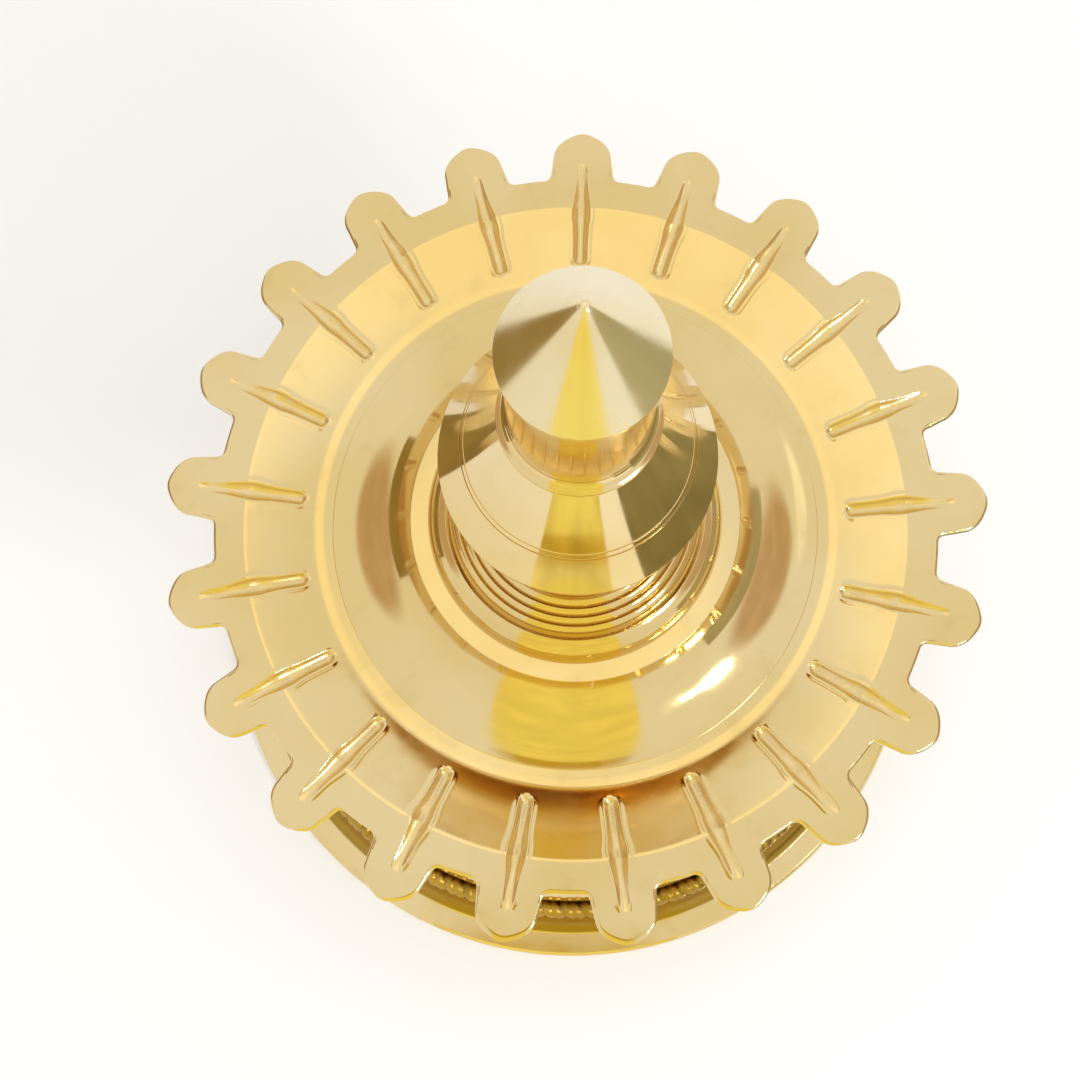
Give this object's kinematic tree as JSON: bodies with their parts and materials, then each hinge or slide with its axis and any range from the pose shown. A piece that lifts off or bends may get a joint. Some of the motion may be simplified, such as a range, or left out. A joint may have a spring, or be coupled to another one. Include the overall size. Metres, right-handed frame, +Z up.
{
  "type": "standing oil lamp",
  "caption": "Tall brass oil lamp with a bell base, screwed stem, petal-edged dish cut with wick grooves, bell skirt, neck and pointed finial.",
  "frame": {"origin": "centre of the ring the lamp stands on, at floor level", "axes": "+Z up along the stem to the finial's point; +X through the middle of one petal"},
  "size_m": [0.4039, 0.404, 0.572],
  "materials": {
    "polished_brass": "mirror polished and lacquered",
    "satin_brass": "fine turned, satin",
    "cast_brass": "cast and brushed",
    "machined_brass": "machined thread"
  },
  "bodies": {
    "base": {"base_bell": "polished_brass", "base_rope_band": "cast_brass", "base_thread_bush": "machined_brass"},
    "lower_stud_body": {"lower_stud": "machined_brass"},
    "lower_stem": {"lower_disc": "polished_brass", "lower_vase": "polished_brass", "lower_cap_ring": "polished_brass"},
    "middle_stud_body": {"middle_stud": "machined_brass"},
    "dish_support": {"middle_disc": "polished_brass", "middle_spool": "polished_brass", "dish_cup": "polished_brass"},
    "dish": {"oil_dish": "polished_brass"},
    "dish_stud_body": {"dish_stud": "machined_brass"},
    "upper_stem": {"dish_centre_cone": "polished_brass", "stem_foot": "polished_brass", "waist_spool": "polished_brass", "bell_skirt": "polished_brass", "neck_sleeve": "polished_brass"},
    "finial_stud_body": {"finial_stud": "machined_brass"},
    "finial": {"finial_cone": "satin_brass"}
  },
  "joints": [
    {"name": "lower_stem_rise", "type": "slide", "parent": "base", "child": "lower_stud_body", "axis": [0, 0, 1], "range_m": [0, 0.0176]},
    {"name": "lower_stem_turn", "type": "hinge", "parent": "lower_stud_body", "child": "lower_stem", "pos_m": [0, 0, 0.123], "axis": [0, 0, 1], "range_deg": [0, 2520]},
    {"name": "dish_support_rise", "type": "slide", "parent": "lower_stem", "child": "middle_stud_body", "axis": [0, 0, 1], "range_m": [0, 0.0176]},
    {"name": "dish_support_turn", "type": "hinge", "parent": "middle_stud_body", "child": "dish_support", "pos_m": [0, 0, 0.199], "axis": [0, 0, 1], "range_deg": [0, 2520]},
    {"name": "upper_stem_rise", "type": "slide", "parent": "dish_support", "child": "dish_stud_body", "axis": [0, 0, 1], "range_m": [0, 0.0226]},
    {"name": "upper_stem_turn", "type": "hinge", "parent": "dish_stud_body", "child": "upper_stem", "pos_m": [0, 0, 0.3036], "axis": [0, 0, 1], "range_deg": [0, 3240]},
    {"name": "finial_rise", "type": "slide", "parent": "upper_stem", "child": "finial_stud_body", "axis": [0, 0, 1], "range_m": [0, 0.0176]},
    {"name": "finial_turn", "type": "hinge", "parent": "finial_stud_body", "child": "finial", "pos_m": [0, 0, 0.534], "axis": [0, 0, 1], "range_deg": [0, 2520]},
    {"name": "dish_turn", "type": "hinge", "parent": "dish_support", "child": "dish", "pos_m": [0, 0, 0.3], "axis": [0, 0, 1], "continuous": true}
  ],
  "couplings": [
    {"joint": "lower_stem_rise", "follows": "lower_stem_turn", "m_per_rad": 0.00039789},
    {"joint": "dish_support_rise", "follows": "dish_support_turn", "m_per_rad": 0.00039789},
    {"joint": "upper_stem_rise", "follows": "upper_stem_turn", "m_per_rad": 0.00039789},
    {"joint": "finial_rise", "follows": "finial_turn", "m_per_rad": 0.00039789}
  ]
}
